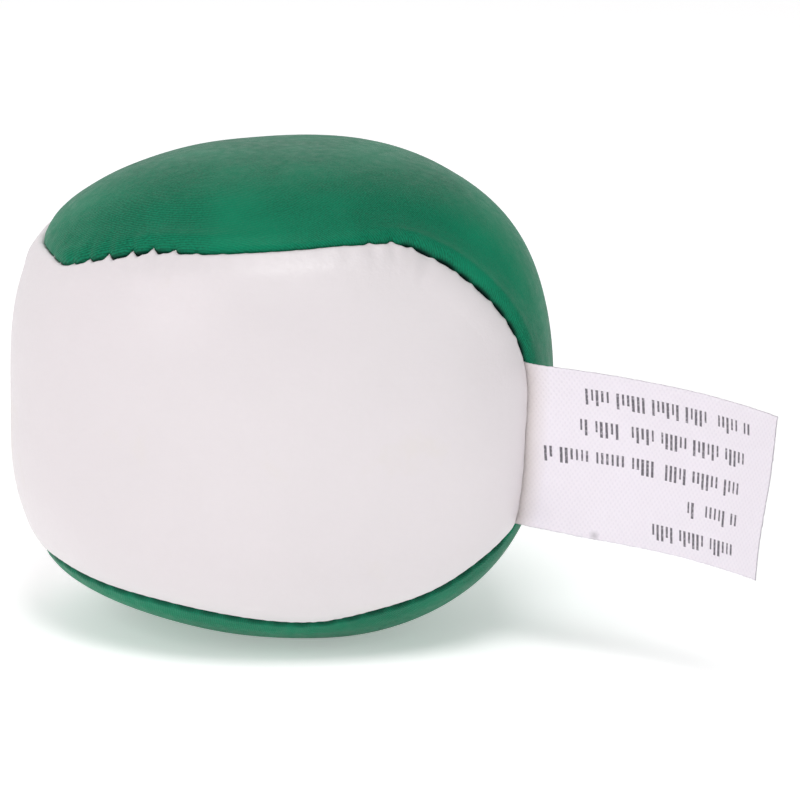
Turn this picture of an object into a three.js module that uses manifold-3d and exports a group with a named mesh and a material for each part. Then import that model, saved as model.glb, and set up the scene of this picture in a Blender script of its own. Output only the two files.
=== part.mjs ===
// A stuffed juggling ball. Two dumbbell-shaped panels of coated cloth wrap round each other and meet in
// one closed seam, as on a tennis ball. Their edges turn inwards as sewing allowances. A care label is
// sewn into the seam, and plastic pellets fill the inside.
// Millimetres, +Z up. The origin is the centre of the flat that the ball rests on.

import * as THREE from 'three';
import { mergeVertices } from 'three/addons/utils/BufferGeometryUtils.js';
import Module from 'manifold-3d';

// ---- Driving dimensions ----

// How far the skin reaches from the waist point, the middle of the ball between its two waists.
const REACH = { left: 34.9, right: 38.7, side: 29.6, top: 29.8, bottom: 27 };
// The right waist is pulled back onto a shallow cap, in a direction turned down from +X.
const RIGHT_CAP = { reach: 27.8, radius: 48, downDegrees: 9.5, sharpness: 12 };
const SQUARENESS = 2.75; // 2 gives a round ball, more gives a boxier one
const WAIST_X = 3.5; // the waist point lies this far to the right of the ball's centre
const REST_HEIGHT = 26.3; // the skin is pressed flat at this distance below the waist point

const SEAM = { rightSwing: 0.88, leftSwing: 1.21, shift: -0.2, fullness: 1.7 };
const KINK = { turn: 0.2, rise: 0.055, width: 0.06 }; // the seam comes to a point here
const LABEL_PULL = { turn: 0.5, pull: 0.15, width: 0.13 }; // the label holds the seam back here

// Where the fill pushes the skin out or leaves it slack: a direction, the width of the place, its height.
const FULLNESS = [
  { place: [0, -0.45, -0.89], width: 0.28, height: 0.2 },
  { place: [-0.57, -0.05, -0.82], width: 0.25, height: -1.3 },
  { place: [0.55, -0.35, -0.75], width: 0.25, height: -1.3 },
  { place: [-0.94, 0.33, 0], width: 0.3, height: -0.6 },
  { place: [-0.82, 0.35, 0.43], width: 0.22, height: 0.4 },
  { place: [0, 0.25, 0.97], width: 0.3, height: -0.5 },
  { place: [-0.45, 0.35, 0.82], width: 0.3, height: -0.4 },
  { place: [0.75, -0.08, 0.66], width: 0.22, height: -0.2 },
].map(({ place, width, height }) => ({ towards: new THREE.Vector3(...place).normalize(), width, height }));

// Where the sewing wanders: turn along the seam, width in turns, shift in x and z, measured in reaches.
const WANDERS = [
  { turn: 3.6, width: 0.06, x: -0.025, z: -0.04 },
  { turn: 3.77, width: 0.05, x: 0.015, z: 0.035 },
  { turn: 0.13, width: 0.05, x: 0.025, z: 0.055 },
  { turn: 0.68, width: 0.05, x: 0.085, z: -0.045 },
  { turn: 0.88, width: 0.06, x: -0.01, z: 0.02 },
  { turn: 1.05, width: 0.09, x: 0.015, z: -0.075 },
  { turn: 1.22, width: 0.06, x: -0.005, z: 0.015 },
  { turn: 1.42, width: 0.05, x: -0.005, z: 0.01 },
];

const SKIN = 0.9; // thickness of the coated cloth
const ALLOWANCE = 4.2; // depth of the turned-in edge below the skin's surface
const SEAM_GAP = 1.0; // between the two turned-in edges
const VALLEY = 1.0; // how deep the skin's edge lies in the seam
const SHOULDER = { inset: 0.9, depth: 0.2 }; // where the skin starts to turn down into the seam
const CLEAR = 0.3; // between touching pieces

const THREAD_RADIUS = 0.2;
const STITCH = 3.0; // length of one stitch
const CLOSING_RUN = { from: 3.42, to: 3.92 }; // turns of the seam between which it was closed by hand

const LABEL = { width: 19.5, length: 31.9, thickness: 0.35 };
const LABEL_DROP = 1.1; // its middle lies this far below the waist point
const LABEL_HEADING = { root: -32, tip: -73 }; // degrees from +X, seen from above
const LABEL_DROOP = 1.5; // degrees below level
const LABEL_CELLS = 12; // along the free end, and across the sewn end

const FILL_LEVEL = 15; // top of the packed pellets, above the waist point
const GROOVE_HALF_WIDTH = 2.9; // of the groove in the fill, which the sewing allowances need
const PELLET = { count: 24, radius: 2.1, height: 3.0, spacing: 3.0 };

const GRID = 12; // cells across a panel; it has three times as many along
const PATCH_INSET = 4.0; // distance from the seam at which a panel's grid starts
const SEAM_SAMPLES = 4000; // for measuring along the seam

const COLOURS = {
  white: 0xeae3e8,
  green: 0x107a5a,
  thread: 0xf2efe9,
  label: 0xf3f0f5,
  pellet: 0xd8d4c8,
};

// ---- The skin as a formula ----

// 1 on the skin's basic form. The white panel wraps round a vertical axis on the left, and the green one
// round a crosswise axis on the right.
function gauge(d) {
  const upright = Math.hypot(Math.min(d.x, 0), d.y);
  const crosswise = Math.hypot(Math.max(d.x, 0), d.z);
  return (upright ** SQUARENESS + crosswise ** SQUARENESS) ** (1 / SQUARENESS);
}

// The skin point in the direction d, where d is measured in reaches.
function skinPoint(d) {
  const p = d.clone().divideScalar(gauge(d));
  p.x *= p.x < 0 ? REACH.left : REACH.right;
  p.y *= REACH.side;
  p.z *= p.z < 0 ? REACH.bottom : REACH.top;
  const pastCap = p.length() / capDistance(p);
  p.divideScalar((1 + pastCap ** RIGHT_CAP.sharpness) ** (1 / RIGHT_CAP.sharpness));
  p.setLength(p.length() + fullness(p));
  p.z = Math.max(p.z, -REST_HEIGHT);
  return p;
}

// How far the fill pushes the skin out in the direction of p.
function fullness(p) {
  const out = p.clone().normalize();
  return FULLNESS.reduce((total, { towards, width, height }) => (
    total + height * Math.exp(-((out.distanceTo(towards) / width) ** 2))
  ), 0);
}

// How far the waist point is from the right cap's sphere, towards p.
function capDistance(p) {
  const down = THREE.MathUtils.degToRad(RIGHT_CAP.downDegrees);
  const centre = new THREE.Vector3(Math.cos(down), 0, -Math.sin(down))
    .multiplyScalar(RIGHT_CAP.reach - RIGHT_CAP.radius);
  const nearest = centre.dot(p) / p.length();
  return nearest + Math.sqrt(nearest ** 2 - centre.lengthSq() + RIGHT_CAP.radius ** 2);
}

// A point in millimetres, turned back into a direction in reaches.
function inReaches(p) {
  return new THREE.Vector3(
    p.x / (p.x < 0 ? REACH.left : REACH.right),
    p.y / REACH.side,
    p.z / (p.z < 0 ? REACH.bottom : REACH.top),
  );
}

function ontoSkin(p) {
  return skinPoint(inReaches(p));
}

function skinNormal(p) {
  const out = p.clone().normalize();
  const helper = Math.abs(out.z) < 0.8 ? new THREE.Vector3(0, 0, 1) : new THREE.Vector3(1, 0, 0);
  const a = helper.clone().cross(out).normalize();
  const b = out.clone().cross(a);
  const step = 0.1;
  const slope = (v) => ontoSkin(p.clone().addScaledVector(v, step))
    .sub(ontoSkin(p.clone().addScaledVector(v, -step)));
  return slope(a).cross(slope(b)).normalize();
}

// ---- The seam ----

// Direction of the seam after `turn`, which runs from 0 to 4: front right, left underside, back right,
// left top side.
function seamDirection(turn) {
  const arc = Math.floor(turn) % 4;
  const angle = (turn - Math.floor(turn)) * Math.PI;
  const power = 2 / SEAM.fullness;
  const along = Math.sign(Math.cos(angle)) * Math.abs(Math.cos(angle)) ** power;
  const swing = Math.sin(angle) ** power;
  const right = SEAM.rightSwing * swing;
  const left = -SEAM.leftSwing * swing;
  const pull = LABEL_PULL.pull * Math.exp(-(((turn - LABEL_PULL.turn) / LABEL_PULL.width) ** 2));
  const d = [
    new THREE.Vector3(right - pull, -1, along),
    new THREE.Vector3(left, -along, -1),
    new THREE.Vector3(right, 1, -along),
    new THREE.Vector3(left, along, 1),
  ][arc];
  d.x += SEAM.shift;
  d.z += KINK.rise * Math.exp(-turnsApart(turn, KINK.turn) / KINK.width);
  for (const wander of WANDERS) {
    const share = Math.exp(-((turnsApart(turn, wander.turn) / wander.width) ** 2));
    d.x += wander.x * share;
    d.z += wander.z * share;
  }
  return d;
}

// Distance along the closed seam between two places, in turns.
function turnsApart(a, b) {
  return Math.abs(THREE.MathUtils.euclideanModulo(a - b + 2, 4) - 2);
}

// Evenly spaced places on the seam. `across` points into the white panel.
function seamPlaces(count) {
  const fine = SEAM_SAMPLES;
  const points = [];
  for (let i = 0; i <= fine; i += 1) {
    points.push(skinPoint(seamDirection((4 * i) / fine)));
  }
  const lengths = [0];
  for (let i = 1; i <= fine; i += 1) {
    lengths.push(lengths[i - 1] + points[i].distanceTo(points[i - 1]));
  }
  const places = [];
  let i = 0;
  for (let k = 0; k < count; k += 1) {
    const target = (lengths[fine] * k) / count;
    while (lengths[i + 1] < target) i += 1;
    const share = (target - lengths[i]) / (lengths[i + 1] - lengths[i]);
    places.push({ turn: (4 * (i + share)) / fine, point: points[i].clone().lerp(points[i + 1], share) });
  }
  places.forEach((place, k) => {
    const next = places[(k + 1) % count].point;
    const last = places[(k + count - 1) % count].point;
    const tangent = next.clone().sub(last).normalize();
    place.normal = skinNormal(place.point);
    place.across = tangent.cross(place.normal).normalize();
  });
  places.length_mm = lengths[fine];
  return places;
}

// The point `inset` to one side of the seam (positive is the white side) and `depth` below the skin.
function besideSeam(place, inset, depth) {
  return place.point.clone().addScaledVector(place.across, inset).addScaledVector(place.normal, -depth);
}

// ---- Meshes from quads ----

class Faces {
  constructor() {
    this.positions = [];
  }

  triangle(a, b, c) {
    this.positions.push(...a.toArray(), ...b.toArray(), ...c.toArray());
  }

  quad(a, b, c, d, flipped) {
    const corners = flipped ? [d, c, b, a] : [a, b, c, d];
    this.triangle(corners[0], corners[1], corners[2]);
    this.triangle(corners[0], corners[2], corners[3]);
  }

  // A band between two rings with the same number of points.
  band(from, to, flipped) {
    from.forEach((point, k) => {
      const n = (k + 1) % from.length;
      this.quad(point, from[n], to[n], to[k], flipped);
    });
  }

  geometry() {
    const geometry = new THREE.BufferGeometry();
    geometry.setAttribute('position', new THREE.Float32BufferAttribute(this.positions, 3));
    const merged = mergeVertices(geometry, 1e-4);
    merged.computeVertexNormals();
    return merged;
  }
}

function piece(name, geometry, colour, roughness) {
  const material = new THREE.MeshStandardMaterial({ color: colour, roughness, metalness: 0 });
  const mesh = new THREE.Mesh(geometry, material);
  mesh.name = name;
  return mesh;
}

// A tube that follows points, open-ended or as a closed loop.
function tube(points, closed, radius) {
  const route = new THREE.CatmullRomCurve3(points, closed);
  const sides = 5;
  const outline = new THREE.Shape(
    Array.from({ length: sides }, (_, i) => {
      const angle = (2 * Math.PI * i) / sides;
      return new THREE.Vector2(radius * Math.cos(angle), radius * Math.sin(angle));
    }),
  );
  const steps = closed ? points.length : 2 * (points.length - 1);
  return new THREE.ExtrudeGeometry(outline, { steps, extrudePath: route, curveSegments: 1 });
}

// ---- Panels ----

const WHITE = 1;
const GREEN = -1;
const places = seamPlaces(8 * GRID);

// The inside of a panel as a grid, from the ring of points around it. The ring starts half a short side
// before the seam place `middle`, and its short sides close the two lobes.
function panelGrid(ring, middle, depth) {
  const start = middle - GRID / 2 + ring.length;
  const at = (k) => ring[(start + k) % ring.length];
  const long = 3 * GRID;
  const rows = [];
  for (let i = 0; i <= long; i += 1) {
    const low = at(8 * GRID - i);
    const high = at(GRID + i);
    const row = [];
    for (let j = 0; j <= GRID; j += 1) {
      if (i === 0) row.push(at(j));
      else if (i === long) row.push(at(5 * GRID - j));
      else if (j === 0) row.push(low);
      else if (j === GRID) row.push(high);
      else row.push(gridPoint(at, low, high, i / long, j, depth));
    }
    rows.push(row);
  }
  return rows;
}

// A point between the two long sides, eased so that the lobes' round ends keep their form.
function gridPoint(at, low, high, along, j, depth) {
  const share = j / GRID;
  const p = low.clone().lerp(high, share);
  const ends = [
    { weight: Math.max(0, 1 - 3 * along) ** 2, edge: at(j), from: at(0), to: at(GRID) },
    { weight: Math.max(0, 3 * along - 2) ** 2, edge: at(5 * GRID - j), from: at(5 * GRID), to: at(4 * GRID) },
  ];
  for (const end of ends) {
    const straight = end.from.clone().lerp(end.to, share);
    p.addScaledVector(end.edge.clone().sub(straight), end.weight);
  }
  const skin = ontoSkin(p);
  return skin.addScaledVector(skinNormal(skin), -depth);
}

function addGrid(faces, rows, flipped) {
  for (let i = 1; i < rows.length; i += 1) {
    for (let j = 1; j < rows[i].length; j += 1) {
      faces.quad(rows[i - 1][j - 1], rows[i - 1][j], rows[i][j], rows[i][j - 1], flipped);
    }
  }
}

function seamRing(side, inset, depth) {
  return places.map((place) => besideSeam(place, side * inset, depth));
}

// The ring where a panel's grid starts, on the skin or below it.
function gridRing(side, depth) {
  return places.map((place) => {
    const skin = ontoSkin(besideSeam(place, side * PATCH_INSET, 0));
    return skin.addScaledVector(skinNormal(skin), -depth);
  });
}

// The seam place at the middle of a panel's first lobe end.
function lobeMiddle(side) {
  const turn = side === WHITE ? 0.5 : 1.5;
  return places.findIndex((place) => place.turn >= turn);
}

// A panel from its outer skin, down into the seam, round the turned-in edge and back along its inside.
function panel(side) {
  const flipped = side === WHITE;
  const edge = SEAM_GAP / 2;
  const rings = [
    gridRing(side, 0),
    seamRing(side, edge + SHOULDER.inset, SHOULDER.depth),
    seamRing(side, edge, VALLEY),
    seamRing(side, edge, ALLOWANCE),
    seamRing(side, edge + SKIN, ALLOWANCE),
    seamRing(side, edge + SKIN, VALLEY + SKIN),
    gridRing(side, SKIN),
  ];
  const faces = new Faces();
  rings.slice(1).forEach((ring, i) => faces.band(ring, rings[i], flipped));
  addGrid(faces, panelGrid(rings[0], lobeMiddle(side), 0), flipped);
  addGrid(faces, panelGrid(rings.at(-1), lobeMiddle(side), SKIN), !flipped);
  return faces.geometry();
}

// ---- Threads ----

// A line of machine stitches on the inner side of one turned-in edge. It dips at each needle hole.
function machineThread(side) {
  const stitches = Math.round(places.length_mm / STITCH);
  const inset = SEAM_GAP / 2 + SKIN + CLEAR + THREAD_RADIUS;
  const depth = (VALLEY + SKIN + ALLOWANCE) / 2;
  const dip = 0.25;
  const stops = seamPlaces(2 * stitches);
  const points = stops.map((place, i) => besideSeam(place, side * (inset + (i % 2) * dip), depth));
  return tube(points, true, THREAD_RADIUS);
}

// The hand-sewn thread that closes the ball after filling: it goes in and out between the two edges.
function closingThread() {
  const run = seamPlaces(Math.round((2 * places.length_mm) / STITCH))
    .filter((place) => place.turn > CLOSING_RUN.from && place.turn < CLOSING_RUN.to);
  const shallow = VALLEY;
  const deep = ALLOWANCE * 0.6;
  const points = run.map((place, i) => besideSeam(place, 0, i % 2 ? deep : shallow));
  return tube(points, false, THREAD_RADIUS);
}

// ---- Care label ----

// The seam place at the middle of its width.
function labelRootPlace() {
  const rightFront = seamPlaces(8 * places.length).filter((place) => place.turn > 0.4 && place.turn < 1);
  return rightFront.find((place) => place.point.z <= -LABEL_DROP);
}

// Its end that is sewn in between the two edges.
function labelSewnEnd(middle) {
  const half = LABEL.thickness / 2;
  const top = VALLEY * 0.3;
  const bottom = ALLOWANCE - CLEAR;
  const spacing = LABEL.width / LABEL_CELLS;
  const covered = seamPlaces(Math.round(places.length_mm / spacing))
    .filter((place) => Math.abs(place.point.z - middle.point.z) < LABEL.width / 2 && place.turn < 1);
  const sections = covered.map((place) => [
    besideSeam(place, half, top),
    besideSeam(place, -half, top),
    besideSeam(place, -half, bottom),
    besideSeam(place, half, bottom),
  ]);
  return loft(sections);
}

// The free end, standing off the ball. Its root lies on the hinge line at the local origin.
function labelFlap() {
  const steps = LABEL_CELLS;
  const half = LABEL.thickness / 2;
  const sections = [];
  const centre = new THREE.Vector3();
  for (let i = 0; i <= steps; i += 1) {
    const share = i / steps;
    const heading = THREE.MathUtils.degToRad(
      THREE.MathUtils.lerp(LABEL_HEADING.root, LABEL_HEADING.tip, share),
    );
    const droop = THREE.MathUtils.degToRad(LABEL_DROOP);
    const ahead = new THREE.Vector3(
      Math.cos(heading) * Math.cos(droop),
      Math.sin(heading) * Math.cos(droop),
      -Math.sin(droop),
    );
    const face = new THREE.Vector3(-Math.sin(heading), Math.cos(heading), 0);
    const up = ahead.clone().cross(face).multiplyScalar(LABEL.width / 2);
    if (i > 0) centre.addScaledVector(ahead, LABEL.length / steps);
    sections.push([
      centre.clone().add(up).addScaledVector(face, half),
      centre.clone().sub(up).addScaledVector(face, half),
      centre.clone().sub(up).addScaledVector(face, -half),
      centre.clone().add(up).addScaledVector(face, -half),
    ]);
  }
  return loft(sections);
}

// A closed solid through four-cornered sections.
function loft(sections) {
  const faces = new Faces();
  sections.slice(1).forEach((section, i) => faces.band(sections[i], section, true));
  faces.quad(...sections[0], false);
  faces.quad(...sections.at(-1), true);
  return faces.geometry();
}

// ---- Fill ----

const wasm = await Module();
wasm.setup();

function toManifold(geometry) {
  const bare = new THREE.BufferGeometry();
  bare.setAttribute('position', geometry.getAttribute('position').clone());
  bare.setIndex(geometry.getIndex());
  const merged = mergeVertices(bare, 1e-4);
  return new wasm.Manifold(new wasm.Mesh({
    numProp: 3,
    vertProperties: new Float32Array(merged.getAttribute('position').array),
    triVerts: new Uint32Array(merged.getIndex().array),
  }));
}

function fromManifold(solid) {
  const mesh = solid.getMesh();
  const geometry = new THREE.BufferGeometry();
  geometry.setAttribute('position', new THREE.BufferAttribute(mesh.vertProperties, 3));
  geometry.setIndex(new THREE.BufferAttribute(mesh.triVerts, 1));
  geometry.computeVertexNormals();
  return geometry;
}

// The packed pellets as one body. A groove round it leaves room for the turned-in edges and threads.
function packedFill() {
  const depth = SKIN + CLEAR;
  const groove = ALLOWANCE + 2 * CLEAR;
  const rimDepth = depth + 3 * CLEAR; // lower, because the rim's chords cut the corner of the skin
  const bed = seamRing(WHITE, 0, groove);
  const faces = new Faces();
  for (const side of [WHITE, GREEN]) {
    const flipped = side === WHITE;
    const wall = seamRing(side, GROOVE_HALF_WIDTH, groove);
    const rim = gridRing(side, rimDepth);
    faces.band(bed, wall, flipped);
    faces.band(wall, rim, flipped);
    addGrid(faces, panelGrid(rim, lobeMiddle(side), depth), flipped);
  }
  const size = 4 * REACH.side;
  const below = new THREE.BoxGeometry(size, size, size).translate(0, 0, FILL_LEVEL - size / 2);
  return fromManifold(toManifold(faces.geometry()).intersect(toManifold(below)));
}

function pelletGeometry() {
  const steps = 5;
  const outline = Array.from({ length: steps + 1 }, (_, i) => {
    const angle = (Math.PI * i) / steps - Math.PI / 2;
    return new THREE.Vector2(PELLET.radius * Math.cos(angle), (PELLET.height / 2) * Math.sin(angle));
  });
  outline[0].x = 0;
  outline[steps].x = 0;
  return new THREE.LatheGeometry(outline, 8).rotateX(Math.PI / 2);
}

// Pellets of the top layer, set out like the seeds of a sunflower on the packed fill.
function loosePellets() {
  const goldenAngle = Math.PI * (3 - Math.sqrt(5));
  const shape = pelletGeometry();
  return Array.from({ length: PELLET.count }, (_, i) => {
    const number = String(i + 1).padStart(2, '0');
    const pellet = piece(`pellet_${number}`, shape, COLOURS.pellet, 0.5);
    const distance = PELLET.spacing * Math.sqrt(i + 0.5);
    const angle = i * goldenAngle;
    pellet.position.set(
      distance * Math.cos(angle) - WAIST_X,
      distance * Math.sin(angle),
      FILL_LEVEL + CLEAR + PELLET.height / 2,
    );
    pellet.rotation.z = angle;
    return pellet;
  });
}

// ---- The ball ----

const labelRoot = labelRootPlace();
const ball = new THREE.Group();
ball.position.set(WAIST_X, 0, REST_HEIGHT);

ball.add(piece('white_panel', panel(WHITE), COLOURS.white, 0.5));
ball.add(piece('green_panel', panel(GREEN), COLOURS.green, 0.4));
ball.add(piece('needle_thread', machineThread(WHITE), COLOURS.thread, 0.8));
ball.add(piece('bobbin_thread', machineThread(GREEN), COLOURS.thread, 0.8));
ball.add(piece('closing_thread', closingThread(), COLOURS.thread, 0.8));
ball.add(piece('label_sewn_end', labelSewnEnd(labelRoot), COLOURS.label, 0.7));
ball.add(piece('packed_fill', packedFill(), COLOURS.pellet, 0.6));
ball.add(...loosePellets());

const flap = piece('care_label', labelFlap(), COLOURS.label, 0.7);
flap.position.copy(labelRoot.point).addScaledVector(labelRoot.normal, CLEAR);
ball.add(flap);

export default ball;
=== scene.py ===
"""A stuffed two-panel juggling ball with a care label sewn into its seam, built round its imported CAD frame.

The skin is one formula, repeated from the CAD part. Each panel is a fine mesh whose rings follow the seam, so
that the stitches can pull its edge in. Lengths below are in millimetres until they are placed in the frame.
"""

import math

import bpy
import numpy as np
from mathutils import Matrix, Vector


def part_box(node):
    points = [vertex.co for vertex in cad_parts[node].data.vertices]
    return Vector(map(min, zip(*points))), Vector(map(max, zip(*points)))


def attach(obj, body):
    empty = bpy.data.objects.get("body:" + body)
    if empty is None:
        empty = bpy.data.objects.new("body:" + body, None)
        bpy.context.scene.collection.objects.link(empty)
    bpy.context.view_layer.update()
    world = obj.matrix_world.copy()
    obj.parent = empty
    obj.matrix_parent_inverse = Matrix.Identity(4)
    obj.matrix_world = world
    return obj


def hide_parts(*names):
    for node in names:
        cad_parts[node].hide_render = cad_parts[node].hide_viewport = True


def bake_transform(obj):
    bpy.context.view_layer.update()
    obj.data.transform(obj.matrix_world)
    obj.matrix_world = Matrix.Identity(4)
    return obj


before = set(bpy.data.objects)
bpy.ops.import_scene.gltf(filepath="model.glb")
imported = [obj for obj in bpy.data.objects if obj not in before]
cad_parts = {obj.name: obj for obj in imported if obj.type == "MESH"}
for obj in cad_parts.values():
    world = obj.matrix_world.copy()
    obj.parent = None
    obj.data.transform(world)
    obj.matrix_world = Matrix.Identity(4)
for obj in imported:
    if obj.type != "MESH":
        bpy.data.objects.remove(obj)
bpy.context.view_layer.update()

# ---- Driving dimensions of the skin, as in the CAD part ----

REACH_LEFT, REACH_RIGHT = 34.9, 38.7
REACH_SIDE = 29.6
REACH_TOP, REACH_BOTTOM = 29.8, 27.0
CAP_REACH, CAP_RADIUS, CAP_DOWN_DEGREES, CAP_SHARPNESS = 27.8, 48.0, 9.5, 12
SQUARENESS = 2.75
REST_HEIGHT = 26.3

SEAM_RIGHT_SWING, SEAM_LEFT_SWING = 0.88, 1.21
SEAM_SHIFT, SEAM_FULLNESS = -0.2, 1.7
KINK_TURN, KINK_RISE, KINK_WIDTH = 0.2, 0.055, 0.06
LABEL_TURN, LABEL_PULL, LABEL_PULL_WIDTH = 0.5, 0.15, 0.13

# Where the fill pushes the skin out or leaves it slack: direction, width of the place, height.
FULLNESS = (
    ((0.00, -0.45, -0.89), 0.28, 0.2),
    ((-0.57, -0.05, -0.82), 0.25, -1.3),
    ((0.55, -0.35, -0.75), 0.25, -1.3),
    ((-0.94, 0.33, 0.00), 0.30, -0.6),
    ((-0.82, 0.35, 0.43), 0.22, 0.4),
    ((0.00, 0.25, 0.97), 0.30, -0.5),
    ((-0.45, 0.35, 0.82), 0.30, -0.4),
    ((0.75, -0.08, 0.66), 0.22, -0.2),
)
# Where the sewing wanders: turn along the seam, width in turns, shift in x and z, measured in reaches.
# The first place is only in this model. The others are as in the CAD part.
WANDERS = (
    (3.33, 0.085, -0.028, -0.052),
    (3.60, 0.06, -0.025, -0.040),
    (3.77, 0.05, 0.015, 0.035),
    (0.13, 0.05, 0.025, 0.055),
    (0.68, 0.05, 0.085, -0.045),
    (0.88, 0.06, -0.010, 0.020),
    (1.05, 0.09, 0.015, -0.075),
    (1.22, 0.06, -0.005, 0.015),
    (1.42, 0.05, -0.005, 0.010),
)

# ---- The same skin in the frame ----

WHITE_LOW, WHITE_HIGH = (np.array(corner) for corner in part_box("white_panel"))
GREEN_LOW = np.array(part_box("green_panel")[0])
MM = (WHITE_HIGH[1] - WHITE_LOW[1]) / (2 * REACH_SIDE)
WAIST = np.array([
    WHITE_LOW[0] + REACH_LEFT * MM,
    (WHITE_LOW[1] + WHITE_HIGH[1]) / 2,
    GREEN_LOW[2] + REST_HEIGHT * MM,
])

# ---- Sewing ----

WHITE, GREEN = 1, -1

SKIN = 0.9  # thickness of the coated cloth
WALL_DEPTH = 3.2  # how far the turned-in edges are modelled below the skin
INNER_CORNER = 0.6  # height of the corner between a turned-in edge and the panel's inner surface
BACK_INSETS, BACK_SINK = (SKIN + 1.4, 3.6, 4.8), 0.1  # rings of that surface, and how low the first one lies
STITCH = 2.78  # length of one stitch
FIRST_STITCH = 0.74  # where the first one lies, in stitches
STITCH_UNEVENNESS = 0.1  # how far a stitch strays along the seam, in stitches
THREAD_RADIUS = 0.10
CLOSING_FROM, CLOSING_TO = 3.48, 3.82  # turns of the seam that were sewn shut by hand
TIGHTEST_TURN, TIGHTEST_WIDTH = 3.735, 0.075  # where the hand stitches pull hardest
LABEL_FROM, LABEL_TO = 0.36, 0.665  # turns of the seam that hold the label
SLOT_FROM, SLOT_TO = 0.13, LABEL_FROM  # turns where the edges stand open between the kink and the label
BELOW_FROM, BELOW_TO = 0.70, 1.50  # turns of the seam that run under the ball's front
LOBE_TURN = {WHITE: 0.5, GREEN: 1.5}  # where the seam rounds the end of each panel's first lobe
TURN_FADE = 0.02  # turns over which one kind of sewing passes into the next
# Where the stitches pull: middle and width in turns, and how hard.
TIGHT_PLACES = ((0.11, 0.045, 0.34), (0.98, 0.075, 0.26))
HAND_TIGHTNESS, SLOT_TIGHTNESS, LEAST_TIGHTNESS = 0.72, 0.05, 0.06
STITCH_STRENGTHS = (0.75, 1.15)  # least and most
SEWING_SEED = 7
PULL_WIDTH, SWELL_WIDTH = 0.42, 0.5  # reach of a stitch's pull, and of the fullness between stitches
SLACK_REACH = 0.55  # how far from a stitch the hand-sewn edges run free, in stitches
CLIMB_TURN, PAST_TURN = 0.18, 0.25  # lengths over which the seam turns round and opens at a hand stitch
HAND_SWELL, HAND_CLIMB = 0.08, 0.15  # how far the hand-sewn seam bulges and climbs between its stitches
LEAST_GAP, LABEL_GAP = 0.03, 0.2
# Gaps at the closest, and what comes on top between two stitches, or just past one where sewn by hand.
HAND_GAP, SLOT_GAP, BELOW_GAP = (0.14, 0.26), (0.1, 0.16), (0.06, 0.08)
LEAST_SEAM_SHADE, FULL_SHADE_GAP = 0.15, 0.3  # how strong the painted shade in a closed seam is, and the gap at which it is at its darkest
EDGE_ROLL = {WHITE: 0.5, GREEN: 0.75}  # radius of each edge where it rolls into the seam
ROLL_STEPS = 10  # steps round that roll
PULL_REACH = 0.9  # how far into a panel the stitches' pull on its edge is felt
SEAM_SHADE_WIDTH = 0.2  # how far from the seam its painted shade reaches
SEAM_SHADE_WIDER_BELOW = 1.5  # how much further, in such widths, that painted shade reaches where the white edge hangs over the green one
LUMP_HEIGHT = 0.06
LUMP_WAVES, LUMP_WAVELENGTHS = 26, (11, 30)
LUMP_SCALE = 20  # brings the sum of the waves to about 1
LUMP_SEED = 3
FLOOR_GAP = 0.02  # the underside rests this far above the floor's surface

# Folds and hollows beside the seam: side, middle and width in turns, distance from the seam, width, height.
FOLDS = (
    (GREEN, 0.21, 0.15, 1.35, 0.95, 0.46),
    (GREEN, 0.22, 0.13, 4.6, 2.4, -0.20),
    (GREEN, 0.22, 0.13, 0.0, 0.7, -0.25),
    (GREEN, 0.51, 0.15, 0.0, 1.6, -0.45),
    (GREEN, 3.36, 0.09, 0.0, 1.6, -0.40),
    (GREEN, 3.60, 0.06, 1.4, 0.9, 0.22),
    (GREEN, 3.79, 0.09, 4.6, 2.2, -0.16),
    (GREEN, 3.83, 0.10, 1.7, 1.0, 0.40),
    (WHITE, 0.17, 0.014, 0.6, 3.2, -0.26),
    (WHITE, 0.26, 0.08, 0.0, 0.6, -0.18),
    (WHITE, 0.51, 0.15, 0.0, 1.3, -0.08),
    (WHITE, 3.40, 0.09, 1.9, 1.5, 0.28),
    (WHITE, 3.785, 0.020, 0.8, 3.4, -0.16),
)

RING_POINTS = 1536
OUTER_GRID = RING_POINTS // 16  # cells across the outer grid, whose boundary has half the ring's points
INNER_GRID = RING_POINTS // 32
RINGS_END, GRID_EDGE = 4.2, 4.4  # insets of the last ring and of the grid's boundary
RING_STEP = 0.3
RELAX_ROUNDS, RELAX_PASSES = 20, 10  # the grid is put back on the skin after each round of passes
SEAM_SAMPLES = 20000  # points that measure the seam's length
SEAM_SOFTENING, ACROSS_SOFTENING = 0.3, 1.0  # lengths that smooth the seam and its cross direction
LINE_SOFTENING, SHARP_INSET = 0.75, 0.7  # a line beside the seam is smoothed by its distance past this inset
SLOPE_STEP = 0.1  # step that measures the skin's slope
FAR_FROM_UPRIGHT = 0.8  # a direction whose z is less than this can be crossed with the upright one
GRID_SPREAD = 0.6  # how much wider a grid's cells are at its sides than in its middle
NEAREST_SKIP = 4  # every so many seam places are tried when the nearest one is looked for
NEAREST_BLOCK = 4000  # points looked at together, which limits the memory it takes


def unit(vectors):
    return vectors / np.linalg.norm(vectors, axis=-1, keepdims=True)


def eased(share):
    """From 0 to 1, starting and ending gently."""
    return share * share * (3 - 2 * share)


def hump(distance, width):
    """1 at no distance, fading to 0 over width."""
    return np.exp(-((distance / width) ** 2))


# ---- The skin as a formula ----

def gauge(d):
    x, y, z = d[..., 0], d[..., 1], d[..., 2]
    upright = np.hypot(np.minimum(x, 0), y)
    crosswise = np.hypot(np.maximum(x, 0), z)
    return (upright ** SQUARENESS + crosswise ** SQUARENESS) ** (1 / SQUARENESS)


def reaches(p):
    """How far the skin reaches along each axis, on the side of the ball where p lies."""
    return np.stack([
        np.where(p[..., 0] < 0, REACH_LEFT, REACH_RIGHT),
        np.full(p.shape[:-1], REACH_SIDE),
        np.where(p[..., 2] < 0, REACH_BOTTOM, REACH_TOP),
    ], axis=-1)


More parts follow.
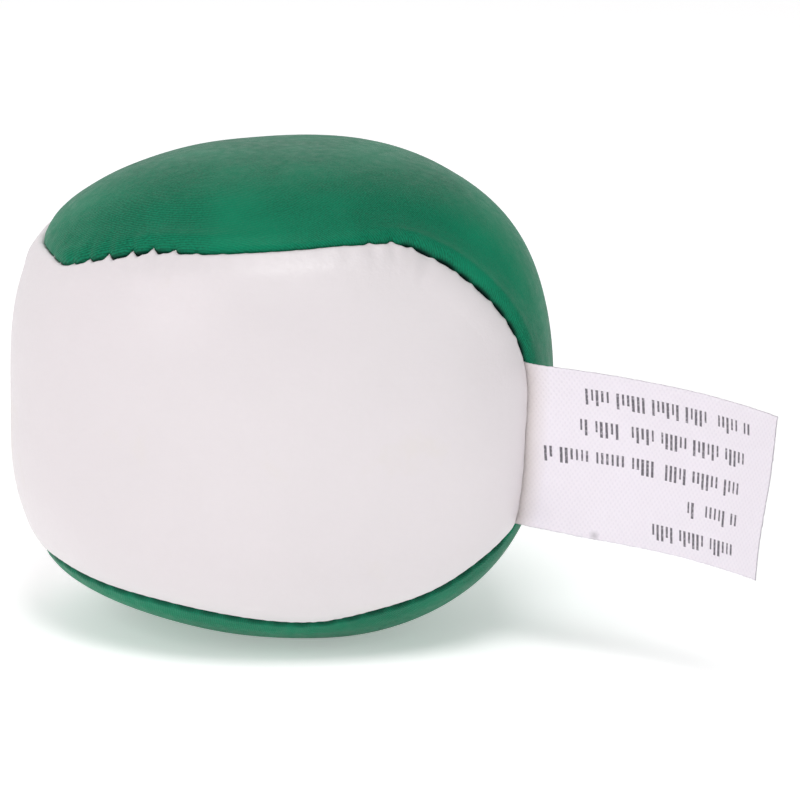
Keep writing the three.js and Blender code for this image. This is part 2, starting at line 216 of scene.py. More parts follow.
def skin_point(d):
    """The skin in the directions d, measured in reaches."""
    p = d / gauge(d)[..., None]
    p = p * reaches(p)
    length = np.linalg.norm(p, axis=-1)
    down = math.radians(CAP_DOWN_DEGREES)
    centre = np.array([math.cos(down), 0, -math.sin(down)]) * (CAP_REACH - CAP_RADIUS)
    nearest = (p / length[..., None]) @ centre
    cap = nearest + np.sqrt(nearest ** 2 - centre @ centre + CAP_RADIUS ** 2)
    p = p / ((1 + (length / cap) ** CAP_SHARPNESS) ** (1 / CAP_SHARPNESS))[..., None]
    out = unit(p)
    height = np.zeros(p.shape[:-1])
    for place, width, most in FULLNESS:
        apart = np.linalg.norm(out - unit(np.array(place)), axis=-1)
        height = height + most * hump(apart, width)
    p = p + out * height[..., None]
    p[..., 2] = np.maximum(p[..., 2], -REST_HEIGHT)
    return p


def onto_skin(p):
    return skin_point(p / reaches(p))


def skin_normal(p):
    out = unit(p)
    crossable = np.abs(out[..., 2:]) < FAR_FROM_UPRIGHT
    helper = np.where(crossable, np.array([0.0, 0.0, 1.0]), np.array([1.0, 0.0, 0.0]))
    a = unit(np.cross(helper, out))
    b = np.cross(out, a)
    slope_a = onto_skin(p + a * SLOPE_STEP) - onto_skin(p - a * SLOPE_STEP)
    slope_b = onto_skin(p + b * SLOPE_STEP) - onto_skin(p - b * SLOPE_STEP)
    return unit(np.cross(slope_a, slope_b))


# ---- The seam ----

def turns_apart(turn, other):
    """Distance along the closed seam, in turns."""
    return np.abs((turn - other + 2) % 4 - 2)


def seam_direction(turn):
    arc = np.floor(turn).astype(int) % 4
    angle = (turn - np.floor(turn)) * np.pi
    power = 2 / SEAM_FULLNESS
    along = np.sign(np.cos(angle)) * np.abs(np.cos(angle)) ** power
    swing = np.abs(np.sin(angle)) ** power
    right = SEAM_RIGHT_SWING * swing
    left = -SEAM_LEFT_SWING * swing
    pull = LABEL_PULL * hump(turn - LABEL_TURN, LABEL_PULL_WIDTH)
    one = np.ones_like(turn)
    arcs = [
        np.stack([right - pull, -one, along], axis=-1),
        np.stack([left, -along, -one], axis=-1),
        np.stack([right, one, -along], axis=-1),
        np.stack([left, along, one], axis=-1),
    ]
    d = np.choose(arc[:, None], arcs)
    d[:, 0] += SEAM_SHIFT
    d[:, 2] += KINK_RISE * np.exp(-turns_apart(turn, KINK_TURN) / KINK_WIDTH)
    for middle, width, along_x, along_z in WANDERS:
        share = bump(turn, middle, width)
        d[:, 0] += along_x * share
        d[:, 2] += along_z * share
    return d


def softened(line, sigma, spacing):
    """A closed line of evenly spaced points, smoothed over sigma."""
    waves = np.fft.rfft(line, axis=0)
    frequency = 2 * np.pi * np.arange(len(waves)) / (len(line) * spacing)
    return np.fft.irfft(waves * np.exp(-((frequency * sigma) ** 2) / 2)[:, None], n=len(line), axis=0)


class Seam:
    """Evenly spaced places on the seam. `across` points into the white panel."""

    def __init__(self, count):
        turns = np.linspace(0, 4, SEAM_SAMPLES + 1)
        line = skin_point(seam_direction(turns % 4))
        lengths = np.concatenate([[0], np.cumsum(np.linalg.norm(np.diff(line, axis=0), axis=1))])
        self.length = lengths[-1]
        self.spacing = self.length / count
        self.distance = self.spacing * np.arange(count)
        self.turn = np.interp(self.distance, lengths, turns)
        sampled = np.stack([np.interp(self.distance, lengths, line[:, i]) for i in range(3)], axis=-1)
        self.point = onto_skin(softened(sampled, SEAM_SOFTENING, self.spacing))
        self.normal = skin_normal(self.point)
        tangent = np.roll(self.point, -1, axis=0) - np.roll(self.point, 1, axis=0)
        self.across = unit(softened(unit(np.cross(tangent, self.normal)), ACROSS_SOFTENING, self.spacing))

    def line(self, inset):
        """The skin `inset` to the white side. The line grows smoother away from the seam."""
        inset = np.broadcast_to(inset, self.turn.shape)
        beside = self.point + self.across * inset[:, None]
        sigma = LINE_SOFTENING * max(0.0, abs(inset.mean()) - SHARP_INSET)
        return onto_skin(softened(beside, sigma, self.spacing))

    def beside(self, inset, depth):
        """The same line, `depth` below the skin."""
        skin = self.line(inset)
        return skin - skin_normal(skin) * np.broadcast_to(depth, self.turn.shape)[:, None]


def bump(turn, centre, width):
    """1 at centre, fading to 0 over width, along the closed seam."""
    return hump(turns_apart(turn, centre), width)


def stretch(turn, start, end):
    """1 between two turns of the seam and 0 elsewhere."""
    rise = np.clip((turn - start) / TURN_FADE + 0.5, 0, 1)
    fall = np.clip((end - turn) / TURN_FADE + 0.5, 0, 1)
    return eased(rise) * eased(fall)


class Sewing:
    """How the stitches pull on the seam, at each of its places."""

    def __init__(self, seam):
        rng = np.random.default_rng(SEWING_SEED)
        turn = seam.turn
        count = round(seam.length / STITCH)
        stray = rng.uniform(-STITCH_UNEVENNESS, STITCH_UNEVENNESS, count)
        self.stitches = (np.arange(count) + FIRST_STITCH + stray) / count * seam.length
        apart = (seam.distance[:, None] - self.stitches + seam.length / 2) % seam.length - seam.length / 2
        nearest = np.abs(apart).argmin(axis=1)
        self.from_stitch = apart[np.arange(len(turn)), nearest]
        strength = rng.uniform(*STITCH_STRENGTHS, count)[nearest]
        self.label = stretch(turn, LABEL_FROM, LABEL_TO)
        self.by_hand = bump(turn, TIGHTEST_TURN, TIGHTEST_WIDTH)
        slot = stretch(turn, SLOT_FROM, SLOT_TO)
        self.below = stretch(turn, BELOW_FROM, BELOW_TO)
        tightness = LEAST_TIGHTNESS + HAND_TIGHTNESS * self.by_hand + SLOT_TIGHTNESS * slot
        for middle, width, most in TIGHT_PLACES:
            tightness = tightness + most * bump(turn, middle, width)
        self.tight = tightness * strength * (1 - self.label)
        pull = self.tight * hump(self.from_stitch, PULL_WIDTH)
        swell = 1 - hump(self.from_stitch, SWELL_WIDTH)
        # Just past each hand stitch the edges hang apart, and they climb again to the next one.
        slack = 1 - np.abs(self.from_stitch) / (SLACK_REACH * STITCH)
        climb = np.tanh(self.from_stitch / CLIMB_TURN) * slack
        past = (0.5 + 0.5 * np.tanh(self.from_stitch / PAST_TURN)) * slack
        self.shift = self.by_hand * (HAND_SWELL * swell + HAND_CLIMB * climb) - pull
        hand_gap = self.by_hand * (HAND_GAP[0] + HAND_GAP[1] * past) * swell
        slot_gap = slot * (SLOT_GAP[0] + SLOT_GAP[1] * swell)
        below_gap = self.below * (BELOW_GAP[0] + BELOW_GAP[1] * swell)
        self.gap = LEAST_GAP + hand_gap + slot_gap + below_gap + LABEL_GAP * self.label


# ---- Surface relief, measured from the seam ----

DIMPLE_WIDTH, DIMPLE_REACH = 0.75, 1.3  # of the dimple at each stitch, along the seam and into the panel
DIMPLE_LEVEL = 0.45  # the share of a dimple's depth by which the skin rises between dimples
DIMPLE_DEPTH, TIGHT_DIMPLE_DEPTH = 0.05, 0.55
SWELLING_HEIGHT, SWELLING_INSET, SWELLING_WIDTH = 0.12, 2.6, 1.7  # along the whole seam
# Per gap between the edges, how far the white edge sinks and the green one rises, and how far in.
WHITE_SINK, WHITE_SINK_REACH = 0.9, 0.6
GREEN_RISE, GREEN_RISE_REACH = 0.6, 0.9


def relief(seam, sewing, place, inset, side):
    """Depth below the smooth skin at seam place indices `place`, `inset` from the seam, into one panel."""
    turn = seam.turn[place]
    dimple = hump(sewing.from_stitch[place], DIMPLE_WIDTH) - DIMPLE_LEVEL
    most = DIMPLE_DEPTH + TIGHT_DIMPLE_DEPTH * sewing.tight[place]
    depth = most * dimple * np.exp(-inset / DIMPLE_REACH)
    depth = depth - SWELLING_HEIGHT * hump(inset - SWELLING_INSET, SWELLING_WIDTH)
    # Where the edges hang apart, the green one stands over the white one.
    if side == WHITE:
        depth = depth + WHITE_SINK * sewing.gap[place] * np.exp(-inset / WHITE_SINK_REACH)
    else:
        depth = depth - GREEN_RISE * sewing.gap[place] * np.exp(-inset / GREEN_RISE_REACH)
    for fold_side, middle, length, distance, width, height in FOLDS:
        if fold_side == side:
            depth = depth - height * bump(turn, middle, length) * hump(inset - distance, width)
    return depth


def lumps(p, seed):
    """Slow unevenness of the stuffing under the skin, about 1 at its most."""
    rng = np.random.default_rng(seed)
    total = np.zeros(p.shape[:-1])
    for _ in range(LUMP_WAVES):
        direction = unit(rng.normal(size=3))
        wavelength = rng.uniform(*LUMP_WAVELENGTHS)
        total += np.sin(p @ direction * 2 * np.pi / wavelength + rng.uniform(0, 2 * np.pi)) * wavelength
    return total / (LUMP_WAVES ** 0.5 * LUMP_SCALE)


# ---- Meshes ----

class Mesh:
    """Collects points and faces, then becomes a Blender object in the frame."""

    def __init__(self):
        self.points = []
        self.seam_shades = []
        self.faces = []
        self.total = 0

    def add(self, points, seam_shade=0.0):
        """Returns the points' numbers. The last argument says how much painted seam shade each point gets,
        from 0 to 1.
        """
        first = self.total
        self.points.append(points.reshape(-1, 3))
        count = len(self.points[-1])
        self.seam_shades.append(np.broadcast_to(seam_shade, count))
        self.total += count
        return np.arange(first, self.total)

    def band(self, outer, inner, flipped):
        a, b = outer, np.roll(outer, -1)
        c, d = np.roll(inner, -1), inner
        self._quads(np.stack([a, b, c, d], axis=-1), flipped)

    def halving_band(self, fine, coarse, flipped):
        """Joins a ring to one with half as many points."""
        f0, f1, f2 = fine[0::2], fine[1::2], np.roll(fine, -2)[0::2]
        c0, c1 = coarse, np.roll(coarse, -1)
        for triangle in ((f0, f1, c0), (f1, c1, c0), (f1, f2, c1)):
            corners = np.stack(triangle, axis=-1)
            self.faces.append(corners[:, ::-1] if flipped else corners)

    def grid(self, index, flipped):
        a, b = index[:-1, :-1], index[:-1, 1:]
        c, d = index[1:, 1:], index[1:, :-1]
        self._quads(np.stack([a, b, c, d], axis=-1).reshape(-1, 4), flipped)

    def _quads(self, corners, flipped):
        self.faces.append(corners[:, ::-1] if flipped else corners)

    def build(self, name, flat_of):
        points = np.concatenate(self.points)
        points[:, 2] = np.maximum(points[:, 2], FLOOR_GAP - REST_HEIGHT)
        mesh = bpy.data.meshes.new(name)
        faces = [tuple(face) for block in self.faces for face in block.tolist()]
        mesh.from_pydata((points * MM + WAIST).tolist(), [], faces)
        flat = flat_of(points)
        corner_points = np.empty(len(mesh.loops), dtype=np.int64)
        mesh.loops.foreach_get("vertex_index", corner_points)
        layer = mesh.uv_layers.new(name="flat")
        layer.data.foreach_set("uv", flat[corner_points].astype(np.float32).ravel())
        seam_shades = mesh.attributes.new("seam_shade", "FLOAT", "POINT")
        seam_shades.data.foreach_set("value", np.concatenate(self.seam_shades).astype(np.float32))
        mesh.shade_smooth()
        mesh.validate()
        obj = bpy.data.objects.new(name, mesh)
        bpy.context.collection.objects.link(obj)
        return obj


# ---- Panels ----

def lobe_middle(seam, side):
    return int(np.searchsorted(seam.turn, LOBE_TURN[side]))


def panel_grid(ring, middle, cells):
    """Grid points inside a ring of 8 * cells points, before they are put on the skin."""
    at = np.roll(ring, -(middle - cells // 2), axis=0)
    at = np.concatenate([at, at[:1]])
    long = 3 * cells
    low = at[8 * cells - np.arange(long + 1)]
    high = at[cells + np.arange(long + 1)]
    first = at[:cells + 1]
    last = at[5 * cells - np.arange(cells + 1)]
    along = np.arange(long + 1)[:, None, None] / long
    share = np.arange(cells + 1)[None, :, None] / cells
    spread = 0.5 + 0.5 * np.tan((2 * share - 1) * GRID_SPREAD) / math.tan(GRID_SPREAD)
    grid = low[:, None] * (1 - spread) + high[:, None] * spread
    for weight, edge in (
        (np.maximum(0, 1 - 3 * along) ** 2, first),
        (np.maximum(0, 3 * along - 2) ** 2, last),
    ):
        straight = edge[0] * (1 - spread) + edge[-1] * spread
        grid = grid + weight * (edge[None, :] - straight)
    grid[0], grid[-1] = first, last
    grid[:, 0], grid[:, -1] = low, high
    return grid


def grid_index(mesh, ring_index, middle, cells, inner_points):
    """Point numbers of a grid whose boundary is an existing ring."""
    at = np.roll(ring_index, -(middle - cells // 2))
    at = np.concatenate([at, at[:1]])
    long = 3 * cells
    index = np.empty((long + 1, cells + 1), dtype=np.int64)
    index[:, 0] = at[8 * cells - np.arange(long + 1)]
    index[:, -1] = at[cells + np.arange(long + 1)]
    index[0] = at[:cells + 1]
    index[-1] = at[5 * cells - np.arange(cells + 1)]
    index[1:-1, 1:-1] = mesh.add(inner_points).reshape(long - 1, cells - 1)
    return index


def nearest_place(seam, points):
    """For each point, the nearest seam place and the distance to it."""
    coarse = seam.point[::NEAREST_SKIP]
    places = np.empty(len(points), dtype=np.int64)
    distances = np.empty(len(points))
    for first in range(0, len(points), NEAREST_BLOCK):
        block = slice(first, first + NEAREST_BLOCK)
        apart = np.linalg.norm(points[block, None] - coarse[None], axis=-1)
        places[block] = apart.argmin(axis=1) * NEAREST_SKIP
        distances[block] = apart.min(axis=1)
    return places, distances


def flat_pattern(side):
    """Coordinates along and across the panel as it lay flat, in millimetres."""
    def flat_of(points):
        out = unit(points)
        if side == WHITE:
            around = np.arctan2(out[:, 1], -out[:, 0])
            across = np.arcsin(np.clip(out[:, 2], -1, 1))
        else:
            around = np.arctan2(out[:, 2], out[:, 0])
            across = np.arcsin(np.clip(out[:, 1], -1, 1))
        return np.stack([around, across], axis=-1) * REACH_SIDE
    return flat_of


def relaxed(grid):
    """Evens out a grid on the skin whose boundary stays."""
    for _ in range(RELAX_ROUNDS):
        for _ in range(RELAX_PASSES):
            around = grid[:-2, 1:-1] + grid[2:, 1:-1] + grid[1:-1, :-2] + grid[1:-1, 2:]
            grid[1:-1, 1:-1] = around / 4
        grid[1:-1, 1:-1] = onto_skin(grid[1:-1, 1:-1])
    return grid


def panel_inside(boundary, middle, cells):
    return relaxed(onto_skin(panel_grid(boundary, middle, cells)))[1:-1, 1:-1].reshape(-1, 3)


def displaced(seam, sewing, skin, places, distances, side):
    lowered = relief(seam, sewing, places, distances, side)
    return skin - skin_normal(skin) * (lowered - LUMP_HEIGHT * lumps(skin, LUMP_SEED))[:, None]


def make_panel(name, side, seam, sewing):
    """From the inside of the turned-in edge, up the seam, over the rolled edge and across the skin."""
    mesh = Mesh()
    flipped = side == WHITE
    roll = EDGE_ROLL[side]
    every = np.arange(RING_POINTS)
    middle = lobe_middle(seam, side)

    def ring(inset, depth, fade):
        """fade says how much of the stitches' pull is left at this inset."""
        away = inset + sewing.gap / 2 + side * sewing.shift * fade
        return seam.beside(side * away, depth)

    def outer_ring(inset, drop, share):
        lowered = relief(seam, sewing, every, inset, side) * share
        points = ring(inset, drop + lowered, math.exp(-inset / PULL_REACH))
        return points + skin_normal(points) * (LUMP_HEIGHT * share * lumps(points, LUMP_SEED))[:, None]

    # Down the inner side of the turned-in edge, round its foot and up its outer side.
    rings = [
        (0.0, ring(SKIN, SKIN + INNER_CORNER, fade=0.2)),
        (0.0, ring(SKIN, WALL_DEPTH, fade=0.2)),
        (0.0, ring(0.0, WALL_DEPTH, fade=0.4)),
        (0.0, ring(0.0, (WALL_DEPTH + roll) / 2, fade=0.8)),
    ]
    for angle in np.radians(np.linspace(0, 90, ROLL_STEPS + 1)):
        inset = roll * (1 - math.cos(angle))
        rings.append((inset, outer_ring(inset, roll * (1 - math.sin(angle)), math.sin(angle))))
    for inset in np.arange(roll + RING_STEP, RINGS_END, RING_STEP):
        rings.append((inset, outer_ring(inset, 0.0, 1.0)))
    # Painted shade in the seam, kept as a point attribute that the green skin darkens by: stronger where the
    # edges stand apart, and wider below.
    seam_shade_strength = np.minimum(1.0, LEAST_SEAM_SHADE + sewing.gap / FULL_SHADE_GAP)
    seam_shade_width = SEAM_SHADE_WIDTH * (1 + SEAM_SHADE_WIDER_BELOW * sewing.below)
    indices = [mesh.add(points, hump(inset, seam_shade_width) * seam_shade_strength) for inset, points in rings]
    for outer, inner in zip(indices[:-1], indices[1:]):
        mesh.band(outer, inner, flipped)

    boundary = seam.line(side * GRID_EDGE)[::2]
    away = np.full(len(boundary), GRID_EDGE)
    boundary_index = mesh.add(displaced(seam, sewing, boundary, every[::2], away, side))
    mesh.halving_band(indices[-1], boundary_index, flipped)
    inside = panel_inside(boundary, middle // 2, OUTER_GRID)
    places, away = nearest_place(seam, inside)
    straight = nearest_place(seam, boundary)[1]
    away = away * (GRID_EDGE / straight)[places // 2]
    inside = displaced(seam, sewing, inside, places, away, side)
    mesh.grid(grid_index(mesh, boundary_index, middle // 2, OUTER_GRID, inside), flipped)

    # The inner surface, which is coarser.
    back_index = mesh.add(seam.beside(side * BACK_INSETS[0], SKIN + BACK_SINK))
    mesh.band(back_index, indices[0], flipped)
    half_index = mesh.add(seam.beside(side * BACK_INSETS[1], SKIN)[::2])
    mesh.halving_band(back_index, half_index, not flipped)
    quarter = seam.line(side * BACK_INSETS[2])[::4]
    quarter_index = mesh.add(quarter - skin_normal(quarter) * SKIN)
    mesh.halving_band(half_index, quarter_index, not flipped)
    inside = panel_inside(quarter, middle // 4, INNER_GRID)
    inside = inside - skin_normal(inside) * SKIN
    mesh.grid(grid_index(mesh, quarter_index, middle // 4, INNER_GRID, inside), not flipped)
    return mesh.build(name, flat_pattern(side))


# ---- Threads ----

# One hand stitch: distance ahead of it along the seam, towards the white panel, and below the skin.
STITCH_PATH = (
    (-0.55, -0.35, 1.7),
    (-0.16, -0.32, 0.8),
    (-0.05, -0.22, 0.60),
    (0.0, 0.0, 0.52),
    (0.05, 0.26, 0.58),
    (0.16, 0.42, 0.8),
    (0.55, 0.35, 1.7),
)


def make_stitches(name, seam, sewing):
    """The hand-sewn thread: under the skin from stitch to stitch, and up over the two edges at each."""
    turns = np.interp(sewing.stitches % seam.length, seam.distance, seam.turn)
    stops = sewing.stitches[(turns > CLOSING_FROM) & (turns < CLOSING_TO)]
    route = []
    for ahead, inset, depth in STITCH_PATH:
        place = np.round((stops + ahead) % seam.length / seam.spacing).astype(int) % RING_POINTS
        middle = inset + sewing.shift[place]
        point = seam.point[place] + seam.across[place] * middle[:, None]
        route.append(point - seam.normal[place] * depth)
    return thread_along(name, np.stack(route, axis=1).reshape(-1, 3), THREAD_RADIUS)


def thread_along(name, route, radius):
    """A tube along a route, closed at both ends."""
    curve = bpy.data.curves.new(name, "CURVE")
    curve.dimensions = "3D"
    curve.bevel_depth = radius * MM
    curve.bevel_resolution = 2
    curve.resolution_u = 4
    curve.use_fill_caps = True
    spline = curve.splines.new("BEZIER")
    spline.bezier_points.add(len(route) - 1)
    for bezier, point in zip(spline.bezier_points, route):
        bezier.co = Vector(point * MM + WAIST)
        bezier.handle_left_type = "AUTO"
        bezier.handle_right_type = "AUTO"
    temporary = bpy.data.objects.new(name + "_curve", curve)
    bpy.context.collection.objects.link(temporary)
    graph = bpy.context.evaluated_depsgraph_get()
    mesh = bpy.data.meshes.new_from_object(temporary.evaluated_get(graph))
    bpy.data.objects.remove(temporary)
    bpy.data.curves.remove(curve)
    mesh.name = name
    mesh.shade_smooth()
    obj = bpy.data.objects.new(name, mesh)
    bpy.context.collection.objects.link(obj)
    return obj


# ---- Care label ----

LABEL_WIDTH, LABEL_LENGTH = 19.5, 31.9
LABEL_THICKNESS = 0.18
LABEL_SEWN = 3.0  # length of the end inside the seam
LABEL_FRAY, FRAY_SEED = 0.02, 11  # unevenness of its cut edges
ROOT_HEADING, LEAN_HEADING, TIP_HEADING = -62.0, -32.0, -73.0  # degrees from +X, seen from above
ROOT_BEND = 3.0  # length over which it leans to the right
LABEL_DROOP, DROOP_REACH = 1.5, 4.0  # degrees, and the length over which the droop sets in
LABEL_DROP = 1.1  # the label's middle lies this far below the waist point
TIP_SKEW = 1.1  # how much further the tip's upper corner reaches than its middle
LABEL_STEPS, LABEL_ROWS = 150, 84  # cells along and across it
ROOT_REACH = 9.0  # length over which it straightens from the curved seam
CUP_HEIGHT, CUP_ROUNDS, CUP_PHASE, CUP_REACH = 0.16, 7, 0.6, 12  # the tape cups across its width
RIPPLE_HEIGHT, RIPPLE_PER_MM, RIPPLE_WIDTH = 0.10, 0.55, 5  # and ripples along its length
BACK_OFFSET = 40.0  # how far the unprinted face is moved along the print's coordinates


def label_heading(distance):
    share = np.clip(distance / LABEL_LENGTH, 0, 1)
    curled = LEAN_HEADING + (TIP_HEADING - LEAN_HEADING) * share
    rooted = eased(np.clip(distance / ROOT_BEND, 0, 1))
    return ROOT_HEADING + (curled - ROOT_HEADING) * rooted


def label_root(seam):
    """The seam place at the middle of the label's width."""
    below = (seam.turn > LABEL_FROM) & (seam.turn < LABEL_TO) & (seam.point[:, 2] <= -LABEL_DROP)
    return int(np.argmax(below))


def rim(index):
    """The numbers of the points round the edge of a grid."""
    return np.concatenate([index[:-1, 0], index[-1, :-1], index[:0:-1, -1], index[0, :0:-1]])


def make_label(name, seam):
    root = seam.point[label_root(seam)]
    distances = np.linspace(-LABEL_SEWN, LABEL_LENGTH, LABEL_STEPS + 1)
    step = distances[1] - distances[0]
    headings = np.radians(label_heading(distances))
    droop = math.radians(LABEL_DROOP) * np.clip(distances / DROOP_REACH, 0, 1)
    ahead = np.stack([
        np.cos(headings) * np.cos(droop),
        np.sin(headings) * np.cos(droop),
        -np.sin(droop),
    ], axis=-1)
    centre = np.cumsum(ahead * step, axis=0)
    start = np.argmin(np.abs(distances))
    centre = centre - centre[start] + root
    face = np.stack([-np.sin(headings), np.cos(headings), np.zeros_like(headings)], axis=-1)
    up = np.cross(ahead, face)
    across = np.linspace(0.5, -0.5, LABEL_ROWS + 1) * LABEL_WIDTH

    # The root edge follows the seam; the free part straightens out.
    heights = seam.point[:, 2] - root[2]
    front = (seam.turn < 1) & (np.abs(heights) < LABEL_WIDTH)
    order = np.argsort(heights[front])
    seam_points = seam.point[front][order]
    seam_heights = heights[front][order]
    followed = np.stack([np.interp(across, seam_heights, seam_points[:, i]) for i in range(3)], axis=-1)
    sag = followed - (root + across[:, None] * np.array([0.0, 0.0, 1.0]))
    follow = eased(np.clip(1 - distances / ROOT_REACH, 0, 1))[:, None, None]
    skew = TIP_SKEW * np.clip(distances / LABEL_LENGTH, 0, 1)[:, None] * (across / across[0])[None]
    sheet = centre[:, None] + up[:, None] * across[None, :, None] + follow * sag[None]
    sheet = sheet + ahead[:, None] * skew[..., None]

    cup = CUP_HEIGHT * np.sin(across / LABEL_WIDTH * CUP_ROUNDS + CUP_PHASE)
    cupped = cup[None, :] * np.clip(distances / CUP_REACH, 0, 1)[:, None]
    ripple = RIPPLE_HEIGHT * np.sin(distances * RIPPLE_PER_MM) * (distances > 0)
    rippled = ripple[:, None] * np.cos(across / RIPPLE_WIDTH)[None, :]
    sheet = sheet + face[:, None] * (cupped + rippled)[..., None]

    rng = np.random.default_rng(FRAY_SEED)
    fray = rng.normal(scale=LABEL_FRAY, size=(LABEL_STEPS + 1, 2))
    sheet[:, 0] += up * fray[:, :1]
    sheet[:, -1] += up * fray[:, 1:]
    sheet[-1] += ahead[-1] * rng.normal(scale=LABEL_FRAY, size=(LABEL_ROWS + 1, 1))

    half = LABEL_THICKNESS / 2
    top = sheet + face[:, None] * half
    bottom = sheet - face[:, None] * half
    mesh = Mesh()
    top_index = mesh.add(top).reshape(LABEL_STEPS + 1, LABEL_ROWS + 1)
    bottom_index = mesh.add(bottom).reshape(LABEL_STEPS + 1, LABEL_ROWS + 1)
    mesh.grid(top_index, True)
    mesh.grid(bottom_index, False)
    mesh.band(rim(top_index), rim(bottom_index), True)
    flat = np.stack(np.broadcast_arrays(distances[:, None], across[None, :]), axis=-1).reshape(-1, 2)
    # The tape is printed on the face towards -Y only: the other one lies beyond the print's rows.
    unprinted = flat + np.array([BACK_OFFSET, 0.0])
    return mesh.build(name, lambda points: np.concatenate([unprinted, flat]))


# ---- Materials ----

# Colours in linear light. Tints are the two that a cloth varies between, and the others lie over them.
WHITE_TINTS = (0.690, 0.658, 0.668), (0.738, 0.695, 0.712)
WHITE_STAIN, WHITE_DIRT = (0.70, 0.66, 0.60), (0.25, 0.22, 0.19)
GREEN_TINTS = (0.0015, 0.208, 0.102), (0.0040, 0.250, 0.127)
# The second colour on the next line is painted shade, laid into the seam where the green edge turns in.
GREEN_GROOVE, GREEN_SEAM_SHADE = (0.0005, 0.065, 0.033), (0.0010, 0.018, 0.014)
THREAD_TINTS = (0.62, 0.60, 0.56), (0.86, 0.85, 0.82)
LABEL_TINTS = (0.815, 0.778, 0.840), (0.762, 0.725, 0.796)
# The middle colour on the next line is painted shade where the label goes into the seam.
LABEL_WEAR, LABEL_ROOT_SHADE, LABEL_SMUDGE = (0.76, 0.73, 0.75), (0.66, 0.60, 0.54), (0.30, 0.29, 0.31)
INK = (0.12, 0.11, 0.13)
PELLET_TINTS = (0.66, 0.64, 0.58), (0.78, 0.76, 0.71)

COATING_IOR = 1.5
NOISE_ROUGHNESS = 0.55
SPECK_SIZE, SPECK_RARITY = 0.028, 0.60  # in cells of the specks' pattern, and how rare they are from 0 to 1
TWILL_PITCH, TWILL_WANDER, TWILL_BREAKS = 0.36, 0.35, 5.0  # rib to rib, and how much they wander and break
WEAVE_DEPTH = 0.00003  # metres, as are all heights of bumps below


class Shader:
    """A node material with a Principled shader."""

    def __init__(self, name):
        self.material = bpy.data.materials.new(name)
        self.material.use_nodes = True
        self.tree = self.material.node_tree
        self.surface = self.tree.nodes["Principled BSDF"]
        self.set("IOR", COATING_IOR)

    def node(self, kind, inputs=None, **settings):
        node = self.tree.nodes.new(kind)
        for key, value in settings.items():
            setattr(node, key, value)
        for key, value in (inputs or {}).items():
            if isinstance(value, bpy.types.NodeSocket):
                self.tree.links.new(value, node.inputs[key])
            else:
                node.inputs[key].default_value = value
        return node

    def set(self, name, value):
        self.surface.inputs[name].default_value = value

    def link(self, output, name):
        self.tree.links.new(output, self.surface.inputs[name])

    def math(self, operation, a, b=0.0, c=0.0):
        return self.node("ShaderNodeMath", {0: a, 1: b, 2: c}, operation=operation).outputs[0]

    def noise(self, vector, scale, detail=3.0):
        """From 0 to 1. scale is in waves per metre on objects and per millimetre on flat cloth."""
        inputs = {"Vector": vector, "Scale": scale, "Detail": detail, "Roughness": NOISE_ROUGHNESS}
        return self.node("ShaderNodeTexNoise", inputs).outputs["Fac"]

    def mix(self, factor, a, b):
        node = self.node("ShaderNodeMix", {"Factor": factor}, data_type="RGBA")
        for key, value in ((6, a), (7, b)):
            if isinstance(value, bpy.types.NodeSocket):
                self.tree.links.new(value, node.inputs[key])
            else:
                node.inputs[key].default_value = (*value, 1.0)
        return node.outputs[2]

    def ramp(self, value, low, high):
        return self.node("ShaderNodeMapRange", {0: value, 1: low, 2: high}).outputs[0]

    def bump(self, height, distance, normal=None):
        inputs = {"Height": height, "Distance": distance, "Strength": 1.0}
        if normal is not None:
            inputs["Normal"] = normal
        return self.node("ShaderNodeBump", inputs).outputs[0]


def white_skin():
    s = Shader("white_skin")
    where = s.node("ShaderNodeTexCoord").outputs["Object"]
    blotch = s.noise(where, scale=55.0, detail=2.0)
    stain = s.ramp(s.noise(where, scale=120.0, detail=4.0), low=0.6, high=0.78)
    tinted = s.mix(s.math("MULTIPLY", stain, 0.4), s.mix(blotch, *WHITE_TINTS), WHITE_STAIN)
    specks = s.node("ShaderNodeTexVoronoi", {"Vector": where, "Scale": 95.0}, feature="F1").outputs
    near = s.math("LESS_THAN", specks["Distance"], SPECK_SIZE)
    rare = s.math("GREATER_THAN", s.noise(where, scale=62.0, detail=1.0), SPECK_RARITY)
    dirt = s.math("MULTIPLY", s.math("MULTIPLY", near, rare), 0.55)
    s.link(s.mix(dirt, tinted, WHITE_DIRT), "Base Color")
    grain = s.noise(where, scale=2600.0)
    soft = s.noise(where, scale=480.0)
    s.link(s.ramp(grain, low=-0.6, high=2.2), "Roughness")
    s.link(s.bump(grain, 0.00002, s.bump(soft, 0.00006)), "Normal")
    return s.material


def twill(s, flat):
    """Fine diagonal ribs of the backing cloth, 0 in the grooves and 1 on the ribs."""
    wander = s.math("MULTIPLY", s.noise(flat, scale=1.3), TWILL_WANDER)
    axes = s.node("ShaderNodeSeparateXYZ", {0: flat}).outputs
    diagonal = s.math("ADD", s.math("SUBTRACT", axes[0], axes[1]), wander)
    rib = s.math("SINE", s.math("MULTIPLY", diagonal, 2 * math.pi / TWILL_PITCH))
    uneven = s.math("SUBTRACT", s.noise(flat, scale=4.5, detail=2.0), 0.5)
    broken = s.math("MULTIPLY", uneven, TWILL_BREAKS)
    return s.ramp(s.math("ADD", rib, broken), low=-1.8, high=1.8)


